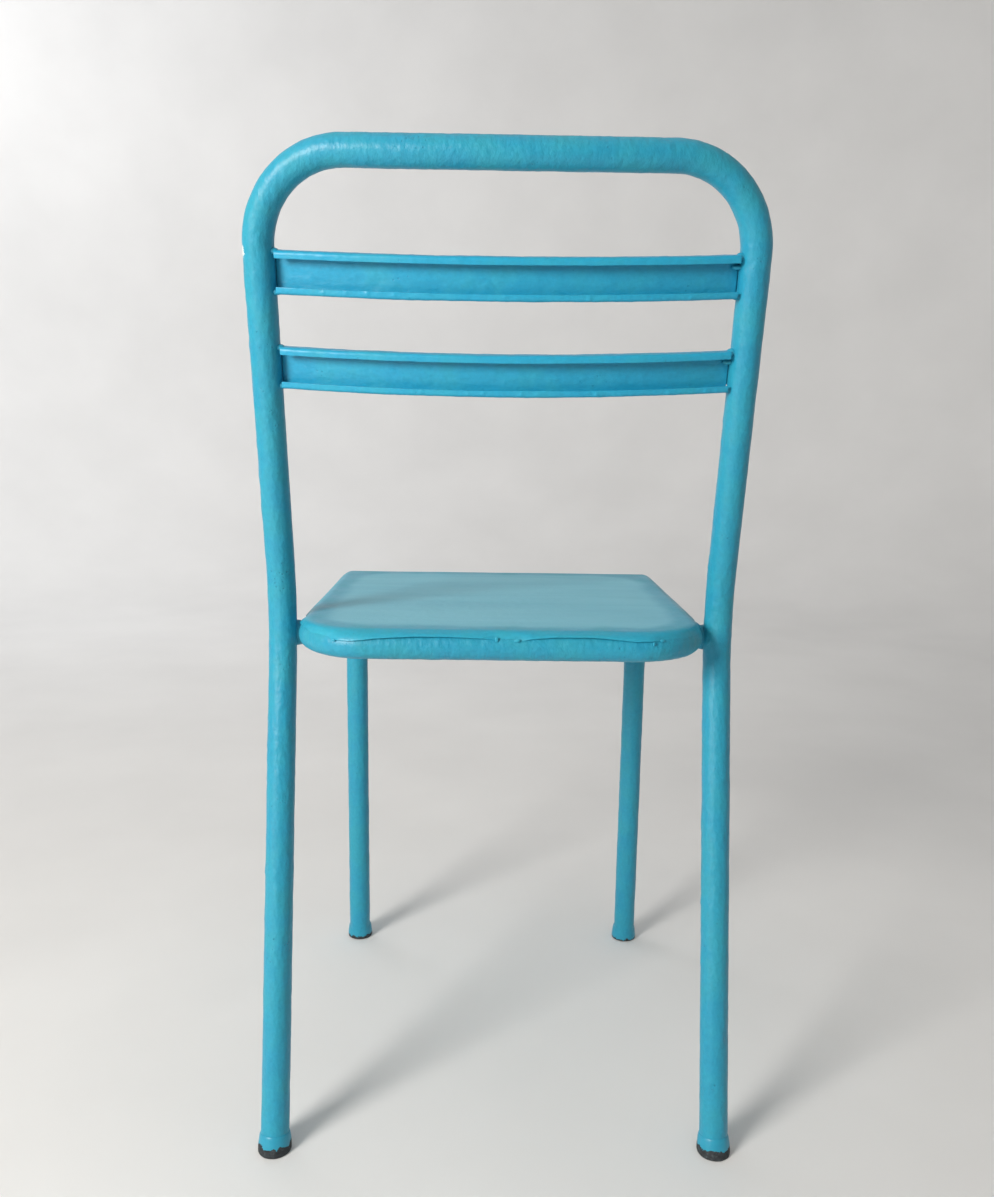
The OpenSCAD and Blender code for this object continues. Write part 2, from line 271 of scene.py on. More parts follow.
# Brush marks and lumps of old coats, with the pinholes sunk into them
def brushMarks(tree, look, place, pitted):
    drawn = addNode(tree, "Mapping", {"Scale": look["stroke"]}, {"Vector": place}).outputs["Vector"]
    brush = addNode(tree, "TexNoise", {"Scale": look["brushScale"], "Detail": 4.0, "Roughness": 0.62},
                    {"Vector": drawn})
    lumps = addNode(tree, "TexVoronoi",
                    {"Scale": look["lumpScale"], "feature": "SMOOTH_F1", "Smoothness": 0.6}, {"Vector": drawn})
    coats = addNode(tree, "Math", {"operation": "MULTIPLY_ADD", 1: 0.5},
                    {0: lumps.outputs["Distance"], 2: brush.outputs["Fac"]}).outputs[0]
    sunk = addNode(tree, "Math", {"operation": "MULTIPLY_ADD", 1: -0.6}, {0: pitted, 2: coats})
    return addNode(tree, "Bump", {"Strength": look["bump"], "Distance": 0.001}, {"Height": sunk.outputs[0]})


def enamel(name, look, dustAndTopLightSettings=None, chips=()):
    material, tree = newMaterial(name)
    place = addNode(tree, "TexCoord").outputs["Object"]
    drift = addNode(tree, "TexNoise", {"Scale": look["driftScale"], "Detail": 3.0, "Roughness": 0.55},
                    {"Vector": place})
    tone = addNode(tree, "ValToRGB", links={"Fac": drift.outputs["Fac"]})
    rampStops(tone, [(0.34, linear(look["deep"])), (0.5, linear(look["body"])),
                     (0.66, linear(look["green"]))])
    mottle = addNode(tree, "TexNoise", {"Scale": look["mottleScale"], "Detail": 2.0}, {"Vector": place})
    mottleTone = addNode(tree, "MapRange", {"From Min": 0.3, "From Max": 0.7, "To Min": 0.95, "To Max": 1.04},
                         {"Value": mottle.outputs["Fac"]})
    colour = addNode(tree, "Mix", {"data_type": "RGBA", "blend_type": "MULTIPLY", 0: 1.0},
                     {6: tone.outputs["Color"], 7: mottleTone.outputs["Result"]}).outputs[2]
    rough = addNode(tree, "MapRange", {"From Min": 0.3, "From Max": 0.7, "To Min": look["glossy"],
                                       "To Max": look["matte"]},
                    {"Value": drift.outputs["Fac"]}).outputs["Result"]
    pitted = pinholes(tree, look, place)
    faint = addNode(tree, "Math", {"operation": "MULTIPLY", 1: 0.6}, {0: pitted}).outputs[0]
    colour = addNode(tree, "Mix", {"data_type": "RGBA", "blend_type": "MULTIPLY", 7: look["pitShade"]},
                     {0: faint, 6: colour}).outputs[2]
    # Dust film on the seat's top, also painted light that lightens the top face.
    if dustAndTopLightSettings:
        film = dustAndTopLightFilm(tree, dustAndTopLightSettings, place)
        colour = addNode(tree, "Mix", {"data_type": "RGBA", 7: linear(look["dustAndTopLight"])},
                         {0: film, 6: colour}).outputs[2]
        rough = addNode(tree, "Mix", {"data_type": "FLOAT", 3: 0.6}, {0: film, 2: rough}).outputs[0]
    for spot in chips:
        colour = addNode(tree, "Mix", {"data_type": "RGBA", 7: linear(look[spot["shows"]])},
                         {0: chipMask(tree, look, place, spot), 6: colour}).outputs[2]
    bump = brushMarks(tree, look, place, pitted)
    shader = addNode(tree, "BsdfPrincipled", {"IOR": 1.42, "Coat Weight": 0.12, "Coat Roughness": 0.3},
                     {"Base Color": colour, "Roughness": rough, "Normal": bump.outputs["Normal"]})
    addNode(tree, "OutputMaterial", links={"Surface": shader.outputs[0]})
    return material


frameEnamel = enamel("BrushedEnamelOnTube", paintLook, chips=[
    {"at": (0.2060, 0.1735, 0.766), "size": (0.0055, 0.0055, 0.0065), "shows": "chip"}])
# Slat enamel: a lighter, bluer copy of the frame's paint, as painted light.
slatEnamelPaintedLighter = enamel("BrushedEnamelOnSlatsPaintedLighter", slatLookPaintedLighter, chips=[
    {"at": (-0.1690, 0.1745, 0.7335), "size": (0.0045, 0.004, 0.0022), "shows": "rust"},
    {"at": (-0.1665, 0.1745, 0.7330), "size": (0.0030, 0.004, 0.0016), "shows": "chip"},
    {"at": (-0.1725, 0.1740, 0.7328), "size": (0.0020, 0.004, 0.0014), "shows": "chip"}])
# Seat enamel: a lighter copy of the frame's paint, as painted light.
seatEnamelPaintedLighter = enamel("WornEnamelOnSeatPaintedLighter", seatLookPaintedLighter, dustAndTopLightSettings={
    "inner": (0.108, 0.106, 0.0), "edgeScale": 26.0, "wander": 0.016, "none": 0.062, "full": 0.046,
    "most": 0.85, "below": 0.4635, "above": 0.4655, "smear": (5.0, 30.0, 30.0), "wiped": 0.5})

print("materials done")

# Back frame: one tube, bent at the knees and the top corners

# rake leans the legs out and recline leans the back, in degrees; bow is how far the rail curves back
backTube = {"radius": 0.0125, "half": 0.1945, "kneeHeight": 0.465, "railHeight": 0.838, "rake": 10.5,
            "recline": 13.7, "kneeBend": 0.24, "cornerBend": 0.072, "bow": 0.025, "sides": 44, "step": 0.0018,
            "foot": 0.004}
# thick runs of paint down the uprights and legs, at random heights and angles round the tube
tubeRuns = {"each": 90, "from": 0.06, "to": 0.8, "left": (-2.6, 0.4), "right": (-2.8, 0.6),
            "height": (0.0003, 0.0007), "width": (0.0013, 0.0026), "length": (0.002, 0.016)}


def tiltX(degrees, vector):
    return Matrix.Rotation(math.radians(degrees), 3, "X") @ Vector(vector)


backSlope = tiltX(-backTube["recline"], (0, 0, 1))      # up the back
backNormal = tiltX(-backTube["recline"], (0, 1, 0))     # square to the back, rearwards
railRun = (backTube["railHeight"] - backTube["kneeHeight"]) / math.cos(math.radians(backTube["recline"]))
kneeY = (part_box("back_frame")[1].y - backTube["radius"]
         - railRun * backSlope.y - backTube["bow"] * backNormal.y)
knee = Vector((0, kneeY, backTube["kneeHeight"]))


def onBack(x, out, up):
    return knee + Vector((x, 0, 0)) + backNormal * out + backSlope * up


def makeBackTube(spec):
    radius, half = spec["radius"], spec["half"]
    turnAngle = spec["rake"] + spec["recline"]
    kneeRun = spec["kneeBend"] * math.tan(math.radians(turnAngle / 2))
    legSlope = tiltX(spec["rake"], (0, 0, 1))
    legOut = tiltX(spec["rake"], (0, 1, 0))
    kneeLeft = knee + Vector((half, 0, 0))
    legLength = spec["kneeHeight"] / math.cos(math.radians(spec["rake"]))
    foot = kneeLeft - legSlope * (legLength - spec["foot"])
    bowAngle = 2 * math.atan(spec["bow"] / (half + spec["cornerBend"]))
    railBend = (half - spec["cornerBend"] * math.cos(bowAngle)) / math.sin(bowAngle)
    inward = backNormal * math.sin(bowAngle) - Vector((math.cos(bowAngle), 0, 0))
    bpy.ops.mesh.primitive_circle_add(vertices=spec["sides"], radius=radius, location=foot,
                                      rotation=(math.radians(spec["rake"]), 0, 0))
    piece = bpy.context.object
    piece.name = piece.data.name = "backTube"
    bpy.ops.object.transform_apply(location=True, rotation=True, scale=True)
    editOn(piece)
    bpy.ops.mesh.select_all(action="SELECT")
    steps = lambda length: max(6, round(length / spec["step"]))
    legEnd = kneeLeft - legSlope * kneeRun
    runOut(legEnd - foot)
    kneeArc = spec["kneeBend"] * math.radians(turnAngle)
    bendRound(legEnd + legOut * spec["kneeBend"], (-1, 0, 0), turnAngle, steps(kneeArc))
    upright = railRun - spec["cornerBend"] - kneeRun
    runOut(backSlope * upright)
    cornerStart = onBack(half, 0, railRun - spec["cornerBend"])
    cornerSteps = steps(spec["cornerBend"] * math.pi / 2)
    bendRound(cornerStart + inward * spec["cornerBend"], backSlope.cross(inward), 90, cornerSteps)
    railSteps = steps(2 * railBend * bowAngle)
    bendRound(onBack(0, spec["bow"] - railBend, railRun), backSlope, math.degrees(2 * bowAngle), railSteps)
    inwardRight = Vector((-inward.x, inward.y, inward.z))
    cornerEnd = onBack(-half, 0, railRun - spec["cornerBend"])
    bendRound(cornerEnd + inwardRight * spec["cornerBend"], backSlope.cross(inwardRight), -90, cornerSteps)
    runOut(-backSlope * upright)
    legEndRight = Vector((-legEnd.x, legEnd.y, legEnd.z))
    bendRound(legEndRight + legOut * spec["kneeBend"], (1, 0, 0), turnAngle, steps(kneeArc))
    runOut(Vector((-foot.x, foot.y, foot.z)) - legEndRight)
    splitLong(piece, spec["step"])
    selectWhere(piece, "EDGE", lambda e: e.is_boundary)
    bpy.ops.mesh.fill()
    closeUp(piece)
    editOff()
    return piece


def tubeAxis(side, up):  # the middle of the upright or of the leg at a height
    if up > knee.z:
        return onBack(side * backTube["half"], 0, (up - knee.z) / backSlope.z)
    back = (knee.z - up) * math.tan(math.radians(backTube["rake"]))
    return Vector((side * backTube["half"], knee.y + back, up))


def scatterRuns(spec, radius):
    random.seed(12)
    runs = []
    for side, angles in ((1, spec["left"]), (-1, spec["right"])):
        for _ in range(spec["each"]):
            up = random.uniform(spec["from"], spec["to"])
            angle = random.uniform(*angles) + math.pi / 2
            spot = tubeAxis(side, up) + Vector((math.cos(angle), math.sin(angle), 0)) * radius
            runs.append((spot, *(random.uniform(*spec[kind]) for kind in ("height", "width", "length"))))
    return runs


tube = makeBackTube(backTube)
roughen(tube, [("ORIGINAL_PERLIN", 0.030, 0.0003, 1.5), ("ORIGINAL_PERLIN", 0.0085, 0.0006, 2.2),
               ("VORONOI_F1", 0.0045, 0.0004, 2.0)])
addRuns(tube, scatterRuns(tubeRuns, backTube["radius"]))
finishPiece(tube, frameEnamel, ["back_frame"])

# Seat frame: one tube, front legs and a hoop round the seat

# sheetRadius is the outside of the sheet where it wraps round the tube
seatTube = {"radius": 0.0125, "half": 0.1655, "hoopBend": 0.0545, "frontBend": 0.030, "frontRake": 1.5,
            "sheetRadius": 0.0142, "sides": 36, "step": 0.002, "foot": 0.004}
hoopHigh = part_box("seat_frame")[1]
hoopZ = hoopHigh.z - seatTube["radius"]
hoopY = hoopHigh.y - seatTube["radius"]
cornerY = hoopY - seatTube["hoopBend"]
innerX = seatTube["half"] - seatTube["hoopBend"]
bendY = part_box("seat_pan")[0].y + seatTube["sheetRadius"] + seatTube["frontBend"]


def makeSeatTube(spec):
    half, bend = spec["half"], spec["frontBend"]
    rake = math.radians(spec["frontRake"])
    legTop = Vector((half, bendY - bend * math.cos(rake), hoopZ - bend * (1 - math.sin(rake))))
    legSlope = Vector((0, math.sin(rake), math.cos(rake)))
    foot = legTop - legSlope * (legTop.z / math.cos(rake) - spec["foot"])
    bpy.ops.mesh.primitive_circle_add(vertices=spec["sides"], radius=spec["radius"], location=foot,
                                      rotation=(-rake, 0, 0))
    piece = bpy.context.object
    piece.name = piece.data.name = "seatTube"
    bpy.ops.object.transform_apply(location=True, rotation=True, scale=True)
    editOn(piece)
    bpy.ops.mesh.select_all(action="SELECT")
    runOut(legTop - foot)
    bends = round(bend * math.pi / 2 / spec["step"])
    bendRound((half, bendY, hoopZ - bend), (-1, 0, 0), 90 - spec["frontRake"], bends)
    runOut((0, cornerY - bendY, 0))
    corners = round(spec["hoopBend"] * math.pi / 2 / spec["step"])
    bendRound((innerX, cornerY, hoopZ), (0, 0, 1), 90, corners)
    runOut((-2 * innerX, 0, 0))
    bendRound((-innerX, cornerY, hoopZ), (0, 0, 1), 90, corners)
    runOut((0, bendY - cornerY, 0))
    bendRound((-half, bendY, hoopZ - bend), (1, 0, 0), 90 - spec["frontRake"], bends)
    runOut(foot - legTop)
    splitLong(piece, spec["step"])
    selectWhere(piece, "EDGE", lambda e: e.is_boundary)
    bpy.ops.mesh.fill()
    closeUp(piece)
    editOff()
    return piece


hoop = makeSeatTube(seatTube)
roughen(hoop, [("ORIGINAL_PERLIN", 0.030, 0.0007, 1.0), ("ORIGINAL_PERLIN", 0.0085, 0.0006, 1.8),
               ("VORONOI_F1", 0.0045, 0.0003, 1.5)])
finishPiece(hoop, frameEnamel, ["seat_frame"])

# Seat: one sheet wrapped over the hoop, rolled down in front

# seam: how high the sheet's edge stands round the hoop, in degrees, against the distance from the middle of
# the back; between the open lengths the edge sinks under the paint
seatSheet = {"rim": seatTube["sheetRadius"], "thick": 0.0015, "rollTo": 20.0, "edge": 30.0,
             "cells": 44, "rows": 12, "rimSteps": 14, "rollSteps": 22, "cornerSteps": 26,
             "open": [(-0.131, -0.0145), (0.006, 0.139)], "gape": 0.0011, "fade": 0.007,
             "seam": [(-0.20, 31), (-0.129, 32), (-0.110, 31), (-0.074, 42), (-0.045, 43), (-0.025, 37),
                      (-0.014, 30), (0.006, 34), (0.039, 39), (0.072, 41), (0.108, 30), (0.123, 20),
                      (0.136, 19), (0.155, 30), (0.20, 31)]}
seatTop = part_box("seat_pan")[1].z


def makeSeatSheet(spec):
    half, rim, rows, cell = seatTube["half"], spec["rim"], spec["rows"], 2 * innerX / spec["cells"]
    arc = lambda side, turn: Vector((side * (half + rim * math.cos(math.radians(turn))), cornerY,
                                     hoopZ + rim * math.sin(math.radians(turn))))
    turns = [spec["edge"] + (90 - spec["edge"]) * i / spec["rimSteps"] for i in range(spec["rimSteps"] + 1)]
    flat = [half - (half - innerX) * i / rows for i in range(1, rows + 1)]
    flat += [innerX - cell * i for i in range(1, spec["cells"] + 1)]
    flat += [-innerX - (half - innerX) * i / rows for i in range(1, rows + 1)]
    line = [arc(1, t) for t in turns] + [Vector((x, cornerY, seatTop)) for x in flat]
    line += [arc(-1, t) for t in turns[::-1][1:]]
    piece = startPoint("seatSheet", line[0])
    for near, far in zip(line, line[1:]):
        runOut(far - near)
    bpy.ops.mesh.select_all(action="SELECT")
    runOut((0, bendY - cornerY, 0))
    bendRound((0, bendY, hoopZ - seatTube["frontBend"]), (1, 0, 0), 90 - spec["rollTo"], spec["rollSteps"])
    selectWhere(piece, "VERT", lambda v: abs(v.co.y - cornerY) < 1e-5 and v.co.x > half - 1e-5)
    bendRound((innerX, cornerY, hoopZ), (0, 0, 1), 90, spec["cornerSteps"])
    runOut((-2 * innerX, 0, 0))
    bendRound((-innerX, cornerY, hoopZ), (0, 0, 1), 90, spec["cornerSteps"])
    bpy.ops.mesh.select_all(action="SELECT")
    bpy.ops.mesh.remove_doubles(threshold=2e-5)
    splitLong(piece, cell)
    behind = lambda place, margin: place.z > seatTop - 1e-5 and place.y > cornerY + margin
    selectWhere(piece, "EDGE", lambda e: e.is_boundary and all(behind(v.co, -1e-5) for v in e.verts))
    bpy.ops.mesh.edge_face_add()
    wide = lambda f: len(f.verts) > 20 or behind(middle(f), 1e-5)
    for x in flat[:-1]:
        selectWhere(piece, "FACE", wide)
        bpy.ops.mesh.bisect(plane_co=(x, 0, 0), plane_no=(1, 0, 0))
    for i in range(1, rows):
        selectWhere(piece, "FACE", wide)
        bpy.ops.mesh.bisect(plane_co=(0, cornerY + i * seatTube["hoopBend"] / rows, 0), plane_no=(0, 1, 0))
    closeUp(piece)
    editOff()
    if sum(p.normal.z for p in piece.data.polygons if p.center.z > seatTop - 1e-4) < 0:
        piece.data.flip_normals()
    return piece


# Distance from the middle of the back, angle up, and the hoop's axis and outward direction there
def roundHoop(place):
    x, y = place.x, place.y
    side = 1 if x > 0 else -1
    if y <= cornerY:
        axis, out = Vector((side * seatTube["half"], y, hoopZ)), Vector((side, 0, 0))
        along = side * (innerX + seatTube["hoopBend"] * math.pi / 2 + cornerY - y)
    elif abs(x) <= innerX:
        axis, out, along = Vector((x, hoopY, hoopZ)), Vector((0, 1, 0)), x
    else:
        out = Vector((x - side * innerX, y - cornerY, 0)).normalized()
        axis = Vector((side * innerX, cornerY, hoopZ)) + out * seatTube["hoopBend"]
        along = side * (innerX + seatTube["hoopBend"] * math.atan2(abs(out.x), out.y))
    return along, math.degrees(math.atan2(place.z - hoopZ, (place - axis).dot(out))), axis, out


def easeIn(low, high, value):
    t = min(max((value - low) / (high - low), 0), 1)
    return t * t * (3 - 2 * t)


def shapeSeam(piece, spec):
    for vertex in piece.data.vertices:
        if vertex.co.y < bendY or vertex.co.z > seatTop - 1e-5:
            continue
        along, up, axis, out = roundHoop(vertex.co)
        t = (90 - up) / (90 - spec["edge"])
        behind = abs(along) < innerX + seatTube["hoopBend"] * math.pi / 2
        wave = math.sin(along * 61) * 1.6 + math.sin(along * 143 + 1) * 0.8
        if behind:
            gape = max(easeIn(0, spec["fade"], along - a) * easeIn(0, spec["fade"], b - along)
                       for a, b in spec["open"])
            edge = float(np.interp(along, *zip(*spec["seam"]))) + wave * 0.5
            lift = max(math.sin(math.pi * (along - a) / (b - a)) if a < along < b else 0
                       for a, b in spec["open"])
        else:  # along the sides the edge is shut only at the weld
            gape = easeIn(0.010, 0.014, abs(vertex.co.y - knee.y))
            edge, lift = spec["edge"] + wave, 0.35
        turn = math.radians(90 - t * (90 - edge))
        sunk = easeIn(0.35, 1.0, t) * (spec["rim"] - seatTube["radius"] + 0.0003) * (1 - gape)
        radius = spec["rim"] + spec["gape"] * lift * gape * easeIn(0.4, 1.0, t) - sunk
        vertex.co = axis + out * radius * math.cos(turn) + Vector((0, 0, radius * math.sin(turn)))
    piece.data.update()


seat = makeSeatSheet(seatSheet)
shapeSeam(seat, seatSheet)
roughen(seat, [("ORIGINAL_PERLIN", 0.075, 0.0009, 1.0)])
modify(seat, "SOLIDIFY", thickness=seatSheet["thick"], offset=-1, use_even_offset=True)
modify(seat, "BEVEL", width=0.0003, segments=2, limit_method="ANGLE", angle_limit=math.radians(50))
roughen(seat, [("ORIGINAL_PERLIN", 0.012, 0.00018, 1.0), ("ORIGINAL_PERLIN", 0.005, 0.00008, 1.0)])
finishPiece(seat, seatEnamelPaintedLighter, ["seat_pan"])

# Slats: folded channels, open to the back

# drop and pitch place the slats down from the rail; droop and tilt are how they have sunk and slipped in use
slatShape = {"high": 0.0335, "deep": 0.012, "lip": 0.006, "fold": 0.003, "thick": 0.0015, "drop": 0.071,
             "pitch": 0.074, "rootGap": 0.0015, "endAt": 0.1813, "past": 0.005, "steps": 150,
             "droop": 0.0014, "tilt": 0.005}
slatBend = (backTube["half"] ** 2 + backTube["bow"] ** 2) / (2 * backTube["bow"])
slatEnds = (math.asin(backTube["half"] / slatBend)
            - math.asin((backTube["radius"] + slatShape["rootGap"]) / slatBend))


def onSlat(angle, out, up):
    reach = slatBend + out
    return onBack(reach * math.sin(angle), backTube["bow"] - slatBend + reach * math.cos(angle), up)


def makeSlat(name, spec, centreUp, seed):
    x, y, fold = spec["deep"] / 2, spec["high"] / 2, spec["fold"]
    folded = lambda middleX, turns: [(middleX + fold * math.cos(math.radians(turn)),
                                      y - fold + fold * math.sin(math.radians(turn))) for turn in turns]
    outline = [(x, y - spec["lip"]), (x, y - (spec["lip"] + fold) / 2)]
    outline += folded(x - fold, range(0, 91, 18))
    outline += [((x - fold) * (1 - i), y) for i in (0.66, 1.33)]
    outline += folded(fold - x, range(90, 181, 18))
    web = [(-x, (y - fold) * (1 - i / 6)) for i in range(1, 6)]
    outline += web + [(-x, 0)] + [(a, -b) for a, b in web[::-1]] + [(a, -b) for a, b in outline[::-1]]
    past = slatEnds + spec["past"] / slatBend  # too long at first, then cut square
    line = [onSlat(past, a, centreUp + b) for a, b in outline]
    piece = startPoint(name, line[0])
    for near, far in zip(line, line[1:]):
        runOut(far - near)
    bpy.ops.mesh.select_all(action="SELECT")
    hub = onBack(0, backTube["bow"] - slatBend, centreUp)
    bendRound(hub, backSlope, math.degrees(2 * past), spec["steps"])
    for side in (1, -1):
        bpy.ops.mesh.select_all(action="SELECT")
        bpy.ops.mesh.bisect(plane_co=(side * spec["endAt"], 0, 0), plane_no=(side, 0, 0), clear_outer=True)
    closeUp(piece)
    editOff()
    centre = onBack(0, backTube["bow"], centreUp)
    onWeb = lambda place: (place.y < centre.y and abs(place.x) < 0.05
                           and abs((place - centre).dot(backSlope)) < 0.01)
    if sum(p.normal.dot(backNormal) for p in piece.data.polygons if onWeb(p.center)) > 0:
        piece.data.flip_normals()
    modify(piece, "SOLIDIFY", thickness=spec["thick"], offset=-1, use_even_offset=True)
    modify(piece, "BEVEL", width=0.00035, segments=2, limit_method="ANGLE", angle_limit=math.radians(50))
    for vertex in piece.data.vertices:
        sag = 1 - (vertex.co.x / backTube["half"]) ** 2
        vertex.co -= backSlope * (spec["droop"] * sag + spec["tilt"] * vertex.co.x)
    modify(piece, "SUBSURF", subdivision_type="SIMPLE", levels=1, render_levels=1)
    roughen(piece, [("ORIGINAL_PERLIN", 0.040, 0.0008, 1.0), ("ORIGINAL_PERLIN", 0.008, 0.0005, 1.0),
                    ("VORONOI_F1", 0.005, 0.00025, 1.0)])
    random.seed(seed)
    runs = []
    for _ in range(9):  # small beads of paint hanging at the lower lip
        angle = random.uniform(-0.9, 0.9) * slatEnds
        spot = onSlat(angle, x, centreUp - y + spec["lip"] - 0.0005 - spec["droop"])
        runs.append((spot, random.uniform(0.0004, 0.0008), random.uniform(0.0012, 0.002),
                     random.uniform(0.001, 0.003)))
    addRuns(piece, runs)
    return piece


upperUp = railRun - slatShape["drop"] - slatShape["high"] / 2
lowerUp = upperUp - slatShape["pitch"]
finishPiece(makeSlat("upperSlat", slatShape, upperUp, 4), slatEnamelPaintedLighter, ["upper_slat"])
finishPiece(makeSlat("lowerSlat", slatShape, lowerUp, 9), slatEnamelPaintedLighter, ["lower_slat"])

# Painted-over welds


# A bead: a ball stretched between two things, pulled lumpy and drowned in paint
def makeBead(place, size, turn, seed, name="bead"):
    bpy.ops.mesh.primitive_ico_sphere_add(subdivisions=5, radius=1.0, location=(0, 0, 0))
    piece = bpy.context.object
    piece.name = piece.data.name = name
    random.seed(seed)
    waist = random.uniform(0.75, 0.95)
    for vertex in piece.data.vertices:
        x, y, z = vertex.co
        pinch = waist + (1 - waist) * x * x
        vertex.co = Vector((x * size[0], y * size[1] * pinch, z * size[2] * pinch))
    piece.data.transform(Matrix.Translation(place) @ turn.to_4x4())
    roughen(piece, [("ORIGINAL_PERLIN", 0.004, 0.0006, 1.0), ("ORIGINAL_PERLIN", 0.0015, 0.00015, 1.0)])
    return piece


def joinBeads(beads, name):
    bpy.ops.object.select_all(action="DESELECT")
    for bead in beads:
        bead.select_set(True)
    bpy.context.view_layer.objects.active = beads[0]
    bpy.ops.object.join()
    beads[0].name = beads[0].data.name = name
    return beads[0]


# Each bead's half sizes, and its place: past the slat's end, out from the back and up from the slat's middle
lipUp = slatShape["high"] / 2 - 0.0014
slatBeads = {"lip": {"size": (0.0048, 0.0040, 0.0034), "past": 0.0016, "out": 0.0030, "up": (lipUp, -lipUp)},
             "web": {"size": (0.0034, 0.0026, 0.0155), "past": 0.0010, "out": -0.0052, "up": (0,)},
             "blob": {"size": (0.0042, 0.0034, 0.0028), "past": -0.0012, "out": 0.0018, "up": (0.0068,)}}


def makeSlatWelds(name, centreUp):
    beads = []
    recline = Matrix.Rotation(math.radians(-backTube["recline"]), 3, "X")
    for side in (1, -1):
        tilt = -backSlope * slatShape["tilt"] * side * slatShape["endAt"]
        for kind, firstSeed in (("lip", 3), ("web", 20), ("blob", 25)):
            if kind == "blob" and side > 0:  # the extra blob is only on the right
                continue
            bead = slatBeads[kind]
            for up in bead["up"]:
                place = onBack(side * (slatShape["endAt"] + bead["past"]), bead["out"], centreUp + up) + tilt
                beads.append(makeBead(place, bead["size"], recline, len(beads) + firstSeed))
    return joinBeads(beads, name)


finishPiece(makeSlatWelds("upperSlatWelds", upperUp), frameEnamel, ["upper_slat_welds"], 180)
finishPiece(makeSlatWelds("lowerSlatWelds", lowerUp), frameEnamel, ["lower_slat_welds"], 180)

# A neck of weld from the upright to the seat's rim, flaring at both ends: (way across, half height) of its
# rings; it starts inside the upright's wall, a little below the hoop's middle
sideWeld = {"inside": 0.0083, "ahead": 0.0006, "drop": 0.0044, "sides": 40,
            "rings": [(0.0, 0.0124), (0.0022, 0.0119), (0.0040, 0.0107), (0.0056, 0.0095), (0.0074, 0.0089),
                      (0.0092, 0.0092), (0.0110, 0.0098), (0.0150, 0.0100), (0.0210, 0.0082)]}


def makeNeck(name, spec, side):
    y = knee.y - spec["ahead"]
    start = Vector((side * (backTube["half"] - spec["inside"]), y, hoopZ - spec["drop"]))
    bpy.ops.mesh.primitive_circle_add(vertices=spec["sides"], radius=spec["rings"][0][1], location=start,
                                      rotation=(0, math.radians(-90 * side), 0))
    piece = bpy.context.object
    piece.name = piece.data.name = name
    bpy.ops.object.transform_apply(location=True, rotation=True, scale=True)
    editOn(piece)
    bpy.ops.mesh.select_mode(type="EDGE")
    bpy.ops.mesh.select_all(action="SELECT")
    across, high = spec["rings"][0]
    for nextAcross, nextHigh in spec["rings"][1:]:
        runOut((-side * (nextAcross - across), 0, 0))
        bpy.ops.transform.resize(value=(nextHigh / high,) * 3)
        across, high = nextAcross, nextHigh
    selectWhere(piece, "EDGE", lambda e: e.is_boundary)
    bpy.ops.mesh.fill()
    closeUp(piece)
    editOff()
    for vertex in piece.data.vertices:
        deep = 0.6 + 0.3 * easeIn(0.004, 0.012, abs(vertex.co.x - start.x))
        vertex.co.y = y + (vertex.co.y - y) * deep
    modify(piece, "SUBSURF", levels=2, render_levels=2)
    roughen(piece, [("ORIGINAL_PERLIN", 0.007, 0.0009, 1.0), ("ORIGINAL_PERLIN", 0.002, 0.0003, 1.0)])
    return piece


for side, name, node in ((1, "seatWeldLeft", "seat_weld_left"), (-1, "seatWeldRight", "seat_weld_right")):
    finishPiece(makeNeck(name, sideWeld, side), frameEnamel, [node], 180)

# Lumps of weld and paint on the seat's rear seam: way along it, degrees up round the hoop, half sizes
seamBeads = []
for along, up, size in ((0.0045, 34, (0.0016, 0.0011, 0.0028)), (-0.0125, 31, (0.0026, 0.001, 0.0018)),
                        (0.1350, 20, (0.002, 0.0009, 0.0012)), (-0.1295, 33, (0.0022, 0.001, 0.0016)),
                        (-0.123, 22, (0.001, 0.0007, 0.002))):
    if abs(along) <= innerX:
        axis, out = Vector((along, hoopY, hoopZ)), Vector((0, 1, 0))
    else:
        swing = (abs(along) - innerX) / seatTube["hoopBend"]
        out = Vector((math.copysign(math.sin(swing), along), math.cos(swing), 0))
        axis = Vector((math.copysign(innerX, along), cornerY, hoopZ)) + out * seatTube["hoopBend"]
    up = math.radians(up)
    place = axis + (out * math.cos(up) + Vector((0, 0, math.sin(up)))) * (seatSheet["rim"] - 0.0005)
    turn = out.to_track_quat("Y", "Z").to_matrix()
    seamBeads.append(makeBead(place, size, turn, len(seamBeads) + 60))
finishPiece(joinBeads(seamBeads, "seamTacks"), seatEnamelPaintedLighter, ["rim_tacks"], 180)

# Foot caps: moulded rubber, pushed on and painted over with the rest

# rings: height along the cap and width there against the radius, drawn in by paint to the tube at the top
footCap = {"radius": 0.0147, "boxRadius": 0.015, "below": 0.006, "sides": 48, "edge": 0.0009, "tread": 0.0015,
           "rings": [(0.0042, 1.0), (0.0065, 0.985), (0.009, 0.965), (0.0115, 0.945), (0.0135, 0.925),
                     (0.0150, 0.895), (0.0158, 0.865), (0.0160, 0.80)]}


